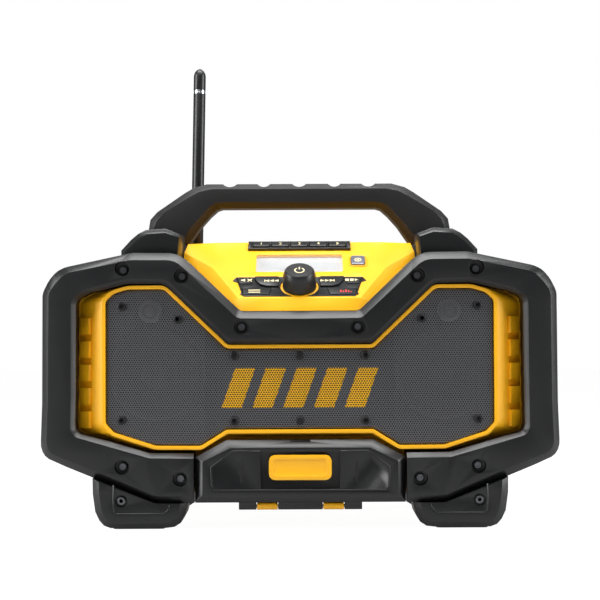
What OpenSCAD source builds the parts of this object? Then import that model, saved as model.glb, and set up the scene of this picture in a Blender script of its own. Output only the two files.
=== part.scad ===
// Jobsite radio: a moulded housing between two rubber bumper frames, with a
// perforated grille, an overhead handle, a sloping console, a drop-down
// storage door and a folding telescopic antenna.
// X is the radio's width, -Y is its front and Z = 0 is the ground.

/* [Body] */
// Width over the two bumper frames
frame_w = 440; // [420:1:470]
// Front face of the front frame, ahead of the handle's centre plane
front_y = 110; // [106:1:120]
// Half depth of the moulded housing, where the frames seat
shoulder_y = 74; // [70:1:78]
// Wall of the moulded housing
wall = 3; // [2.4:0.1:3.6]
// How far the front falls back per millimetre of width, at the sides
sweep_rate = 0.114; // [0.06:0.002:0.16]
// Half width of the flat middle of the front
flat_half = 80; // [76:1:88]

/* [Frames] */
// Chamfer on the frames' outer edge
frame_chamfer = 6.5; // [3:0.5:9]
// Chamfer on the frames' inner edge
frame_inner_chamfer = 4; // [2:0.5:6]
// How far the front frame's outer flange reaches back over the housing
front_flange = 26; // [12:1:34]
// How far the rear frame's outer flange reaches forward over the housing
rear_flange = 8; // [4:1:9]
// Depth of the counterbores for the frame screws
counterbore_depth = 9; // [5:0.5:10]
// Radius of the counterbores
counterbore_r = 6.3; // [5:0.1:7.5]
// Radius of the screw heads
head_r = 3.5; // [3:0.1:4.5]
// Radius of the screw shanks
shank_r = 1.9; // [1.5:0.1:2.4]

/* [Grille] */
// Width of the yellow lip round the grille
lip_w = 3; // [2:0.1:3.2]
// Set-back of the lip behind the front face of the frame
lip_back = 6; // [4:0.5:9]
// Set-back of the grille behind the lip
grille_back = 2; // [1:0.25:4]
// Thickness of the grille sheet
grille_t = 1.2; // [0.8:0.1:2]
// Pitch of the holes that the grille carries
hole_pitch = 12; // [10:0.5:16]
// Radius of those holes
hole_r = 3.4; // [2:0.1:4]

/* [Handle] */
// Top of the grip above the ground
handle_top = 300.6; // [290:0.2:312]
// Height of the grip bar
grip_h = 22; // [18:0.5:24]
// Depth of the grip bar
grip_d = 36; // [30:1:40]
// Chamfer along the grip bar
grip_chamfer = 7; // [4:0.5:8]
// Radius of the finger scallops in the top of the grip
scallop_r = 8; // [6:0.5:10]
// Depth of the finger scallops
scallop_depth = 3; // [1:0.25:4]

/* [Console] */
// Slope of the console above the horizontal
console_tilt = 33; // [30:0.5:36]
// Wall of the console hood
console_wall = 3; // [2:0.1:3.6]
// Width of the display window
display_w = 76; // [66:1:80]
// Height of the display window, along the slope
display_h = 30; // [26:1:31]
// Radius of the volume knob at its base
knob_r = 14.5; // [13:0.25:15]
// Height of the volume knob
knob_h = 16.5; // [12:0.5:20]
// Radius of the encoder's shaft
shaft_r = 3; // [2.5:0.1:3.5]
// Travel of the keys
key_travel = 1; // [0.6:0.1:1.2]

/* [Door] */
// Half width of the storage door
door_half = 88.6; // [86:0.2:89]
// Thickness of the storage door
door_t = 13; // [12:0.5:14]
// Radius of the hinge knuckles
knuckle_r = 3; // [2.6:0.1:3.1]
// Radius of the hinge pin
pin_r = 1.5; // [1.2:0.1:1.8]
// Travel of the latch
latch_travel = 6; // [4:0.5:6.5]

/* [Antenna] */
// Radius of the antenna's sleeve
sleeve_r = 5.7; // [5.3:0.1:6.2]
// Length of the sleeve above its pivot
sleeve_len = 150; // [110:1:160]
// Radius of the first telescopic stage
stage_1_r = 4.5; // [4:0.1:4.6]
// Radius of the second telescopic stage
stage_2_r = 3; // [2.4:0.1:3.1]
// Height of one chrome collar
collar_h = 1.6; // [1:0.1:2.5]
// Lean of the standing antenna, towards the middle of the radio
antenna_lean = 1.1; // [0:0.1:3]

/* [Hidden] */

YELLOW = [0.98, 0.70, 0.06];
BLACK = [0.16, 0.16, 0.17];
RUBBER = [0.20, 0.20, 0.21];
METAL = [0.62, 0.63, 0.65];
gap = 0.3;          // seat clearance between separate mouldings
fit = 0.05;         // radial clearance of a shaft or pin in its bore
far = 400;          // longer than any cut needs to be
arc_steps = 4;      // points along a rounded corner, less one
half_w = frame_w / 2;
side_in = half_w - 220;    // how far the sides move when the width changes

// Half outlines in the front view, from the bottom centre round to the top
// centre, each corner as [x, z, radius]. The four share one corner order.
grille_half = [[0, 84, 0], [62, 84, 5], [84, 70.3, 6], [122, 70.3, 12], [158 + side_in, 81.5, 8],
    [165.3 + side_in, 89, 6], [165.3 + side_in, 193, 6], [158 + side_in, 199.5, 7],
    [146, 203, 14], [115, 203, 9], [62, 152.5, 7], [0, 152.5, 0]];
inner_half = [[0, 76.2, 0], [61, 76.2, 5], [84, 64.3, 6], [127, 64.3, 12], [163 + side_in, 74.5, 12],
    [190.6 + side_in, 81.5, 8], [189.3 + side_in, 194, 8], [178 + side_in, 199.5, 16],
    [145, 207.3, 16], [114, 207.3, 13], [61, 156.5, 7], [0, 156.5, 0]];
housing_half = [[0, 28, 0], [60, 28, 8], [89.5, 28, 8], [121, 28, 14], [172 + side_in, 48, 26],
    [198 + side_in, 61, 14], [197 + side_in, 191, 14], [186 + side_in, 208, 16],
    [143, 226, 16], [106, 226, 18], [54, 178, 8], [0, 178, 0]];
outer_half = [[0, 22.5, 0], [60, 22.5, 8], [89.5, 22.5, 8], [122, 22.5, 16], [176 + side_in, 43.5, 30],
    [220 + side_in, 64.2, 16], [218.4 + side_in, 198.5, 10], [202 + side_in, 218.5, 20],
    [142, 233.5, 20], [102.5, 233.5, 22], [49.8, 183.8, 8], [0, 183.8, 0]];
rear_top = 228;     // top of the rear half, straight across
rear_housing_half = concat([for (i = [0 : 8]) housing_half[i]],
    [[112, rear_top, 14], [50, rear_top, 8], [0, rear_top, 0]]);
rear_outer_half = concat([for (i = [0 : 9]) outer_half[i]], [[50, 233.5, 8], [0, 233.5, 0]]);
rear_inner_half = [[0, 64.3, 0], [61, 64.3, 8], [84, 64.3, 8], [127, 64.3, 12],
    [163 + side_in, 74.5, 12], [190.6 + side_in, 81.5, 8], [189.3 + side_in, 194, 8],
    [178 + side_in, 199.5, 16], [145, 207.3, 16], [114, 207.3, 13], [61, 207.3, 8], [0, 207.3, 0]];

function unit(v) = v / norm(v);
function flat(p) = [p[0], p[1]];
function toward(a, b, d) = a + unit(b - a) * d;
function sweep(x) = sweep_rate * max(0, abs(x) - flat_half);

// Points of one rounded corner b between its neighbours a and c
function corner_arc(a, b, c, r) =
    let (u = unit(a - b), v = unit(c - b), cosine = u * v, straight = cosine < -0.9999,
        half = straight ? 89 : acos(cosine) / 2, reach = r / tan(half),
        middle = straight ? b : b + unit(u + v) * r / sin(half), p = b + u * reach, q = b + v * reach,
        start = p - middle, sweep_angle = 180 - 2 * half, turn = u[0] * v[1] - u[1] * v[0] < 0 ? 1 : -1)
    straight ? [for (i = [0 : arc_steps]) b + v * (2 * i - arc_steps)]
    : [for (i = [0 : arc_steps]) let (t = turn * sweep_angle * i / arc_steps)
        middle + [start[0] * cos(t) - start[1] * sin(t), start[0] * sin(t) + start[1] * cos(t)]];

function half_loop(h) = concat([flat(h[0])],
    [for (i = [1 : len(h) - 2]) each corner_arc(flat(h[i - 1]), flat(h[i]), flat(h[i + 1]), h[i][2])],
    [flat(h[len(h) - 1])]);
function whole_loop(h) = let (p = half_loop(h))
    concat(p, [for (i = [len(p) - 2 : -1 : 1]) [-p[i][0], p[i][1]]]);
// A loop moved outwards by d, along the bisector at each point
function grow(p, d) = let (n = len(p)) [for (i = [0 : n - 1])
    let (a = unit(p[i] - p[(i + n - 1) % n]), b = unit(p[(i + 1) % n] - p[i]),
        m = unit([a[1] + b[1], -a[0] - b[0]]), k = max(0.4, m * [a[1], -a[0]])) p[i] + m * d / k];

grille_loop = whole_loop(grille_half);
inner_loop = whole_loop(inner_half);
housing_loop = whole_loop(housing_half);
outer_loop = whole_loop(outer_half);
rear_housing_loop = whole_loop(rear_housing_half);
rear_outer_loop = whole_loop(rear_outer_half);
rear_inner_loop = whole_loop(rear_inner_half);

// A front-view outline extruded from depth y0 to depth y1
module slab(points, y0, y1) {
    translate([0, y1, 0]) rotate([90, 0, 0]) linear_extrude(y1 - y0) polygon(points);
}
// A cylinder along Y from depth y0 to depth y1
module y_rod(x, z, r, y0, y1, steps = 32) {
    translate([x, y0, z]) rotate([-90, 0, 0]) cylinder(r = r, h = y1 - y0, $fn = steps);
}
// A cylinder along X
module x_rod(x0, x1, y, z, r) {
    translate([x0, y, z]) rotate([0, 90, 0]) cylinder(r = r, h = x1 - x0, $fn = 32);
}
module block(x0, x1, y0, y1, z0, z1) {
    translate([x0, y0, z0]) cube([x1 - x0, y1 - y0, z1 - z0]);
}
// A skin through matching sections: closed makes a ring, otherwise the two
// ends are capped in a fan from each section's first point
module loft(sections, closed) {
    n = len(sections);
    m = len(sections[0]);
    last = closed ? n - 1 : n - 2;
    skin = [for (i = [0 : last], j = [0 : m - 1])
        let (a = i * m + j, b = i * m + (j + 1) % m, c = ((i + 1) % n) * m + (j + 1) % m,
            d = ((i + 1) % n) * m + j) each [[a, b, c], [a, c, d]]];
    caps = closed ? [] : concat([for (j = [1 : m - 2]) [0, j + 1, j]],
        [for (j = [1 : m - 2]) [(n - 1) * m, (n - 1) * m + j, (n - 1) * m + j + 1]]);
    polyhedron(points = [for (s = sections, p = s) p], faces = concat(skin, caps), convexity = 8);
}

// Screw places in the front view, right half: five per frame and side
frame_screws = [[149.8, 219.3], [99.5, 213.6], [49, 170.6], [150.4, 52.8], [101, 43]];
rear_screws = [[149.8, 219.3], [75, 220], [150.4, 52.8], [75, 43]];
grille_screw_places = [[151.5, 188.5], [103.5, 177.5], [151.5, 92], [55.5, 146.5], [55.5, 91.5]];
foot_screw = [151, 24.5];

shoulder_loop = grow(inner_loop, -gap);
lip_loop = grow(grille_loop, lip_w);
step_loop = grow(housing_loop, gap);
rear_step_loop = grow(rear_housing_loop, gap);
split_y = -20;      // where the two halves of the housing meet
first_arc = 1 + 2 * (arc_steps + 1);    // first point past the door's seam
half_count = 1 + 10 * (arc_steps + 1) + 1;

// Section of a frame at one station: outer, step over the housing, inner
function frame_section(o, s, i, flange) =
    let (a = toward(o, i, frame_chamfer), b = toward(i, o, frame_inner_chamfer))
    [[s[0], -shoulder_y, s[1]], [s[0], flange - shoulder_y, s[1]], [o[0], flange - shoulder_y, o[1]],
        [o[0], sweep(o[0]) - front_y + frame_chamfer, o[1]], [a[0], sweep(a[0]) - front_y, a[1]],
        [b[0], sweep(b[0]) - front_y, b[1]],
        [i[0], sweep(i[0]) - front_y + frame_inner_chamfer, i[1]], [i[0], -shoulder_y, i[1]]];

module counterbores(places) {
    for (side = [-1, 1], p = places) {
        floor_y = sweep(p[0]) - front_y + counterbore_depth;
        y_rod(side * p[0], p[1], counterbore_r, -far, floor_y);
        y_rod(side * p[0], p[1], shank_r + fit, -far, -shoulder_y + 1);
    }
}
module screws(places, end_y) {
    for (side = [-1, 1], p = places) {
        floor_y = sweep(p[0]) - front_y + counterbore_depth;
        difference() {
            y_rod(side * p[0], p[1], head_r, floor_y - 2.6, floor_y);
            y_rod(side * p[0], p[1], 1.4, floor_y - 3, floor_y - 1.2, 6);
        }
        y_rod(side * p[0], p[1], shank_r, floor_y, end_y);
    }
}
module front_guard() {
    seam = door_half + 1;
    start = [[[seam, outer_half[2][1]], [seam, housing_half[2][1] - gap], [seam, inner_half[2][1]]]];
    right = concat(start, [for (k = [first_arc : half_count - 1]) [outer_loop[k], step_loop[k], inner_loop[k]]]);
    n = len(right);
    all = concat(right, [for (k = [n - 2 : -1 : 0]) [for (p = right[k]) [-p[0], p[1]]]]);
    color(RUBBER) difference() {
        loft([for (s = all) frame_section(s[0], s[1], s[2], front_flange)], false);
        counterbores(frame_screws);
    }
}
module rear_guard() {
    color(RUBBER) mirror([0, 1, 0]) difference() {
        loft([for (k = [0 : len(rear_outer_loop) - 1])
            frame_section(rear_outer_loop[k], rear_step_loop[k], rear_inner_loop[k], rear_flange)], true);
        counterbores(rear_screws);
    }
}
module guard_screws() {
    color(BLACK) {
        screws(frame_screws, -boss_end);
        mirror([0, 1, 0]) screws(rear_screws, -boss_end);
        for (back = [0, 1]) mirror([0, back, 0]) for (side = [-1, 1]) {
            x = side * foot_screw[0];
            y_rod(x, foot_screw[1], head_r, -foot_y1 + 1.4, -foot_y1 + 4);
            y_rod(x, foot_screw[1], shank_r, -foot_y1 + 4, -foot_y1 + 16);
        }
    }
}

// Housing ---------------------------------------------------------------
boss_end = 60;      // depth at which the screw bosses end
boss_r = 4.5;
hinge_y = -99;      // axis of the door's hinge
hinge_z = 19.3;
knuckles = [19.4, 36.6];    // the housing's knuckles, from x to x on each side
bay_half = 82;      // outside of the bay behind the door
bay_z = [33, 64];
bay_back = -34;
function lip_y(x) = sweep(x) - front_y + lip_back;
function slope_section(k) =
    let (g = grille_loop[k], o = lip_loop[k], s = shoulder_loop[k], t = toward(s, g, wall))
    [[o[0], lip_y(o[0]), o[1]], [g[0], lip_y(g[0]), g[1]], [g[0], lip_y(g[0]) + 8, g[1]],
        [t[0], wall - shoulder_y, t[1]], [s[0], wall - shoulder_y, s[1]], [s[0], -shoulder_y, s[1]]];

// A rib of the side window, in plan, standing on the slope of the housing
module window_rib(z) {
    x0 = 178.2 + side_in;
    x1 = 188.8 + side_in;
    translate([0, 0, z - 7]) linear_extrude(14)
        polygon([[x0, -85.2], [x0 + 2.1, -87.4], [x1, -79.3], [x1, -73], [x0, -80]]);
}
module bosses(places, loop) {
    intersection() {
        for (p = places) y_rod(p[0], p[1], boss_r, wall - shoulder_y - 1, -boss_end);
        slab(grow(loop, -wall / 2), -far, far);
    }
}
module front_housing() {
    color(YELLOW) difference() {
        union() {
            difference() {
                slab(housing_loop, -shoulder_y, split_y);
                slab(grow(housing_loop, -wall), wall - shoulder_y, split_y + 1);
                slab(grow(shoulder_loop, -wall), -shoulder_y - 1, wall - shoulder_y + 1);
            }
            loft([for (k = [0 : len(grille_loop) - 1]) slope_section(k)], true);
            for (side = [0, 1]) mirror([side, 0, 0]) {
                for (i = [0 : 4]) window_rib(92 + 20 * i);
                bosses(frame_screws, housing_loop);
                x_rod(knuckles[0], knuckles[1], hinge_y, hinge_z, knuckle_r);
                block(knuckles[0], knuckles[1], hinge_y, -90, hinge_z - knuckle_r, hinge_z + knuckle_r);
                block(knuckles[0], knuckles[1], -96.2, -90, hinge_z, 26);
            }
            block(-59, 59, -96.2, -shoulder_y + 1, 25, 31);
        }
        for (side = [-1, 1], p = frame_screws)
            y_rod(side * p[0], p[1], shank_r + fit, -shoulder_y - 1, -boss_end + 1);
        x_rod(-60, 60, hinge_y, hinge_z, pin_r + fit);
        block(-bay_half - gap, bay_half + gap, -97, -60, bay_z[0] - gap, bay_z[1] + gap);
    }
}
dock_half = 48;     // outside of the battery dock
dock_z = [67, 153];
dock_front = 20;
inlet = [-90, 60];  // mains inlet on the back
module rear_housing() {
    color(YELLOW) difference() {
        union() {
            difference() {
                slab(rear_housing_loop, split_y, shoulder_y);
                slab(grow(rear_housing_loop, -wall), split_y - 1, shoulder_y - wall);
            }
            for (side = [0, 1]) mirror([side, 0, 0]) mirror([0, 1, 0]) bosses(rear_screws, rear_housing_loop);
        }
        for (side = [-1, 1], p = rear_screws)
            y_rod(side * p[0], p[1], shank_r + fit, boss_end - 1, shoulder_y + 1);
        block(-dock_half - gap, dock_half + gap, 50, 90, dock_z[0] - gap, dock_z[1] + gap);
        block(inlet[0] - 13 - gap, inlet[0] + 13 + gap, 60, 90, inlet[1] - 9 - gap, inlet[1] + 9 + gap);
        for (side = [-1, 1], i = [0 : 5])
            block(side * 75 - 16, side * 75 + 16, 60, 90, 110 + 9 * i, 114 + 9 * i);
    }
}
// Room kept by the front frame, grown by g
module front_zone(g) {
    slab(grow(outer_loop, g), -front_y - 20, front_flange - shoulder_y + g);
}
module rear_zone(g) {
    slab(grow(rear_outer_loop, g), shoulder_y - rear_flange - g, front_y + 20);
}

// Console ---------------------------------------------------------------
fold = [-100, 195];         // the fold above the apron, as [y, z]
console_back = split_y;
slope_len = (console_back - fold[0]) / cos(console_tilt);
crest = fold[1] + (console_back - fold[0]) * tan(console_tilt);
facet_x = 73;               // where the console's side facets begin
knob_s = 17.8;              // the knob's place up the slope
display_s = 58.5;
console_side = 102.5;
// Places children on the slope: x across, s up the slope, z out of it
module on_console(x = 0, s = 0) {
    translate([x, fold[0], fold[1]]) rotate([console_tilt, 0, 0]) translate([0, s, 0]) children();
}
// The console's outside, drawn in by t
module console_form(t) {
    drop = t / cos(console_tilt);
    difference() {
        intersection() {
            rotate([90, 0, 90]) translate([0, 0, -far / 2]) linear_extrude(far)
                polygon([[fold[0] - 3.6 + t, 170], [fold[0] - 3.6 + t, fold[1] - 11], [fold[0] + t, fold[1] - drop + t * tan(console_tilt)],
                    [console_back - t, crest - drop - (t > 0 ? t * tan(console_tilt) : 0)], [console_back - t, 170]]);
            slab([[-console_side + t, 160], [console_side - t, 160], [console_side - t, crest - 14 - t],
                [98 - t, crest + 1], [-98 + t, crest + 1], [-console_side + t, crest - 14 - t]], -far, far);
        }
        for (side = [0, 1]) mirror([side, 0, 0]) on_console(facet_x, 0)
            rotate([0, 8, 0]) translate([t * 0.1, -20, -t]) cube([60, 160, 40]);
        front_zone(gap + t);
    }
}
wing = [[-54.5, 34], [-57.5, 28], [-53, 25.2], [-49.5, 9.5], [-50.5, 6], [-47, 2.5]];
key_prev_out = [[-38.5, 32.5], [-37.5, 26], [-33.5, 19.5], [-27.5, 17], [-18, 17], [-18, 32.5]];
key_mute_out = [[-54, 32.5], [-51, 22.5], [-41, 22.5], [-40.2, 32.5]];
key_menu_out = [[-48.5, 14.5], [-48, 4.5], [-26, 4.5], [-24, 14.5]];
module wings() {
    difference() {
        polygon(concat(wing, [for (i = [5 : -1 : 0]) [-wing[i][0], wing[i][1]]]));
        translate([0, knob_s]) circle(r = knob_r + 2, $fn = 48);
    }
}
function rounded_box(w, h, r) = [for (c = [[1, 1, 0], [-1, 1, 90], [-1, -1, 180], [1, -1, 270]], i = [0 : 3])
    [c[0] * (w / 2 - r) + r * cos(c[2] + 30 * i), c[1] * (h / 2 - r) + r * sin(c[2] + 30 * i)]];
pair_place = [51.5, 61.3];
preset_s = 87;
preset_pitch = 17;
key_floor = -2.5;           // underside of the keys, below the console's face
module key_cap(outline, top) {
    color(BLACK) on_console() translate([0, 0, key_floor]) linear_extrude(top - key_floor) polygon(outline);
}
module key_room() {
    translate([0, 0, -far / 2]) linear_extrude(far / 2 + 10) for (side = [0, 1]) mirror([side, 0])
        for (k = [key_prev_out, key_mute_out, key_menu_out]) polygon(grow(k, gap));
}
module console_panel() {
    color(YELLOW) difference() {
        console_form(0);
        intersection() {
            console_form(console_wall);
            translate([-far / 2, -far / 2, 0]) cube([far, far, far]);
        }
        slab(housing_loop, -shoulder_y - 1, console_back + 1);
        on_console(0, display_s) translate([0, 0, -10]) linear_extrude(20) polygon(rounded_box(display_w, display_h, 2));
        on_console(0, knob_s) translate([0, 0, -10]) cylinder(r = shaft_r + 0.5, h = 20, $fn = 32);
        on_console() translate([0, 0, -1.2]) linear_extrude(20) offset(delta = gap) wings();
        on_console() intersection() {
            key_room();
            translate([-60, 0, -8]) cube([120, 40, 20]);
        }
        on_console(pair_place[0], pair_place[1]) translate([0, 0, -8])
            linear_extrude(20) polygon(rounded_box(12.3 + 2 * gap, 14.8 + 2 * gap, 3));
        on_console(0, preset_s) translate([-45.5 - gap, -6.5 - gap, -1.2]) cube([91 + 2 * gap, 13 + 2 * gap, 20]);
        for (i = [-2 : 2]) on_console(i * preset_pitch, preset_s)
            translate([-7.6 - gap, -4.2 - gap, -8]) cube([15.2 + 2 * gap, 8.4 + 2 * gap, 20]);
    }
}
module keypad_bezel() {
    color(BLACK) on_console() difference() {
        translate([0, 0, -1.2]) linear_extrude(1.7) wings();
        key_room();
    }
}
module key_previous() { key_cap(key_prev_out, 2.2); }
module key_mute() { key_cap(key_mute_out, 1.2); }
module key_menu() { key_cap(key_menu_out, 1.2); }
module key_next() { mirror([1, 0, 0]) key_previous(); }
module key_mode() { mirror([1, 0, 0]) key_mute(); }
module key_tone() { mirror([1, 0, 0]) key_menu(); }
module pair_button() {
    color(METAL) on_console(pair_place[0], pair_place[1]) translate([0, 0, key_floor])
        linear_extrude(1.6 - key_floor) polygon(rounded_box(12.3, 14.8, 3));
}
module preset_trim() {
    color(BLACK) on_console(0, preset_s) difference() {
        translate([-45.5, -6.5, -1.2]) cube([91, 13, 3.6]);
        for (i = [-2 : 2]) translate([i * preset_pitch - 7.6 - gap, -4.2 - gap, -2])
            cube([15.2 + 2 * gap, 8.4 + 2 * gap, 8]);
    }
}
module preset(i) {
    color(BLACK) on_console((i - 3) * preset_pitch, preset_s) translate([0, 0, key_floor])
        linear_extrude(3.6 - key_floor) polygon(rounded_box(15.2, 8.4, 1.5));
}
module display_lens() {
    color([0.8, 0.85, 0.85]) on_console(0, display_s) translate([0, 0, -console_wall])
        linear_extrude(console_wall - 0.6) polygon(rounded_box(display_w - 2 * gap, display_h - 2 * gap, 2));
}
module display_module() {
    color([0.3, 0.45, 0.35]) on_console(0, display_s) translate([-display_w / 2 - 2, -display_h / 2 - 2, -console_wall - 6])
        cube([display_w + 4, display_h + 4, 6]);
}
module volume_knob() {
    color(BLACK) on_console(0, knob_s) translate([0, 0, 0.6]) rotate_extrude($fn = 64)
        polygon([[shaft_r + fit, 0], [knob_r, 0], [knob_r - 0.6, knob_h - 5], [knob_r - 2, knob_h - 1],
            [knob_r - 3.2, knob_h], [0, knob_h], [0, knob_h - 3], [shaft_r + fit, knob_h - 3]]);
}
module encoder_shaft() {
    color(METAL) on_console(0, knob_s) translate([0, 0, -8]) cylinder(r = shaft_r, h = 8.6 + knob_h - 3, $fn = 32);
}
module encoder_body() {
    color(METAL) on_console(0, knob_s) difference() {
        translate([-8, -8, -console_wall - 9]) cube([16, 16, 9]);
        translate([0, 0, -11]) cylinder(r = shaft_r + fit, h = 20, $fn = 32);
    }
}

// Handle and shoulders ----------------------------------------------------
pod_top = 257;
leg_foot = [[143, 258], [103.5, 246]];      // the leg's end plane, outer then inner
handle_half = [leg_foot, [[138.5, 268.5], [92.5, 262]], [[132, 275.5], [84, 271.5]],
    [[107, 292.6], [77.5, 277.2]], [[99, 297.3], [73, handle_top - grip_h]],
    [[87, handle_top], [66, handle_top - grip_h]]];
function handle_section(p) =
    let (o = p[0], i = p[1], a = toward(o, i, grip_chamfer), b = toward(i, o, grip_chamfer), h = grip_d / 2)
    [[o[0], -h + grip_chamfer, o[1]], [o[0], h - grip_chamfer, o[1]], [a[0], h, a[1]], [b[0], h, b[1]],
        [i[0], h - grip_chamfer, i[1]], [i[0], -h + grip_chamfer, i[1]], [b[0], -h, b[1]], [a[0], -h, a[1]]];
module handle() {
    n = len(handle_half);
    all = concat(handle_half, [for (k = [n - 1 : -1 : 0]) [for (p = handle_half[k]) [-p[0], p[1]]]]);
    color(RUBBER) difference() {
        loft([for (p = all) handle_section(p)], false);
        for (i = [-2 : 2]) y_rod(i * 33, handle_top - scallop_depth + scallop_r, scallop_r, -40, 40);
    }
}
pod_face = [[104, 215], [158, 215], [158, 238], [154, 247.5], [148, 252.5], [140, 256], [118, pod_top], [104, 252]];
pod_inner = [[106, 215], [154, 215], [154, 237], [150.5, 245], [145.5, 249], [138, 252], [118, 253], [106, 249]];
pod_screw = [126.5, -40];
module shoulder_right() {
    color(RUBBER) difference() {
        hull() {
            slab(pod_face, -60, 36);
            slab(pod_inner, -66, 42);
        }
        slab([[leg_foot[0][0] + 8, 260.4], leg_foot[0], leg_foot[1], [leg_foot[1][0] - 8, 243.6],
            [90, 280], [150, 280]], -grip_d / 2 - gap, grip_d / 2 + gap);
        front_zone(gap);
        slab(housing_loop, -shoulder_y - 1, split_y);
        slab(rear_housing_loop, split_y, shoulder_y);
        translate([pod_screw[0], pod_screw[1], pod_top - 7]) cylinder(r = 7.3, h = 20, $fn = 40);
        translate([pod_screw[0], pod_screw[1], 200]) cylinder(r = shank_r + fit, h = 80, $fn = 32);
    }
}
module shoulder_left() { mirror([1, 0, 0]) shoulder_right(); }
module handle_screws() {
    color(BLACK) for (side = [-1, 1]) translate([side * pod_screw[0], pod_screw[1], 0]) {
        translate([0, 0, pod_top - 7]) difference() {
            cylinder(r = 5, h = 3, $fn = 32);
            translate([0, 0, 1.6]) cylinder(r = 1.8, h = 3, $fn = 6);
        }
        translate([0, 0, 229]) cylinder(r = shank_r, h = pod_top - 7 - 229, $fn = 32);
    }
}

// Feet --------------------------------------------------------------------
foot_y0 = 58;       // inner end of a foot
foot_y1 = 104;      // outer end of a foot
pad_t = 1.2;
foot_face = [[94.5, 24], [97.4, 12], [101, 5.5], [106.4, pad_t + 0.8], [113.4, pad_t], [160.5, pad_t],
    [166, 3.2], [170, 7.6], [173.5, 15], [175.6, 30], [176, 52], [94.5, 52]];
foot_inner = [[100, 27], [102.6, 14.5], [105.6, 9.5], [109, 7.4], [114.5, 6.8], [159, 6.8],
    [162, 8], [165, 11.5], [167.6, 18], [169.5, 31], [170, 46], [100, 46]];
module foot_front_right() {
    color(RUBBER) difference() {
        hull() {
            slab(foot_face, -foot_y1 + 6, -foot_y0 - 2);
            slab(foot_inner, -foot_y1, -foot_y0);
        }
        front_zone(gap);
        y_rod(foot_screw[0], foot_screw[1], counterbore_r - 1, -far, -foot_y1 + 4);
        y_rod(foot_screw[0], foot_screw[1], shank_r + fit, -far, -foot_y1 + 17);
    }
}
module foot_rear_right() {
    color(RUBBER) mirror([0, 1, 0]) difference() {
        hull() {
            slab(foot_face, -foot_y1 + 6, -foot_y0 - 2);
            slab(foot_inner, -foot_y1, -foot_y0);
        }
        mirror([0, 1, 0]) rear_zone(gap);
        slab(grow(housing_loop, gap), -shoulder_y, 0);
        y_rod(foot_screw[0], foot_screw[1], counterbore_r - 1, -far, -foot_y1 + 4);
        y_rod(foot_screw[0], foot_screw[1], shank_r + fit, -far, -foot_y1 + 17);
    }
}
module foot_front_left() { mirror([1, 0, 0]) foot_front_right(); }
module foot_rear_left() { mirror([1, 0, 0]) foot_rear_right(); }
module foot_pads() {
    color(RUBBER) for (x = [-1, 1], y = [-1, 1]) translate([x * 137, y * 81, 0])
        linear_extrude(pad_t) polygon(rounded_box(44, 28, 4));
}

// Loudspeakers --------------------------------------------------------------
baffle_t = 4;
baffle_face = wall - shoulder_y;            // front face of the baffle
woofer = [124, 131];
woofer_r = 41.5;
tweeter = [129, 184.5];
tweeter_r = 9.8;
function grille_y(x) = lip_y(x) + grille_back;
module baffle() {
    color(BLACK) difference() {
        union() {
            intersection() {
                slab(grow(shoulder_loop, 4), baffle_face, baffle_face + baffle_t);
                slab(grow(housing_loop, -wall - gap), -far, far);
            }
            for (side = [-1, 1], p = grille_screw_places)
                y_rod(side * p[0], p[1], 3.5, grille_y(p[0] + 3.5) + grille_t + gap, baffle_face + 1);
        }
        for (side = [-1, 1]) {
            y_rod(side * woofer[0], woofer[1], woofer_r - 6, -far, 0, 48);
            y_rod(side * tweeter[0], tweeter[1], tweeter_r - 2, -far, 0);
            for (p = grille_screw_places) y_rod(side * p[0], p[1], 1.3, -far, 0);
        }
        block(-bay_half - 1, bay_half + 1, -80, -60, 20, bay_z[1] + gap);
    }
}
// The sheet follows the swept front: flat in the middle, falling back each side
module bent_sheet(y0, y1, rate) {
    translate([0, 0, 40]) linear_extrude(200)
        polygon([[-far / 2, y0 + rate * (far / 2 - flat_half)], [-flat_half, y0], [flat_half, y0],
            [far / 2, y0 + rate * (far / 2 - flat_half)], [far / 2, y1 + rate * (far / 2 - flat_half)],
            [flat_half, y1], [-flat_half, y1], [-far / 2, y1 + rate * (far / 2 - flat_half)]]);
}
module speaker_grille() {
    y0 = grille_y(0);
    row = hole_pitch * sin(60);
    rows = floor(140 / row);
    columns = floor(340 / hole_pitch);
    keep = grow(grille_loop, -hole_r - 2.5);
    color(METAL) difference() {
        intersection() {
            slab(grow(grille_loop, -gap), -far, 0);
            bent_sheet(y0, y0 + grille_t, sweep_rate);
        }
        for (j = [0 : rows], i = [0 : columns]) {
            x = (i - columns / 2 + (j % 2) / 2) * hole_pitch;
            z = 74 + j * row;
            if (inside([x, z], keep) && clear_of_screws([x, z])) y_rod(x, z, hole_r, -far, 0, 16);
        }
        for (side = [-1, 1], p = grille_screw_places) y_rod(side * p[0], p[1], 1.6, -far, 0);
    }
}
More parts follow.
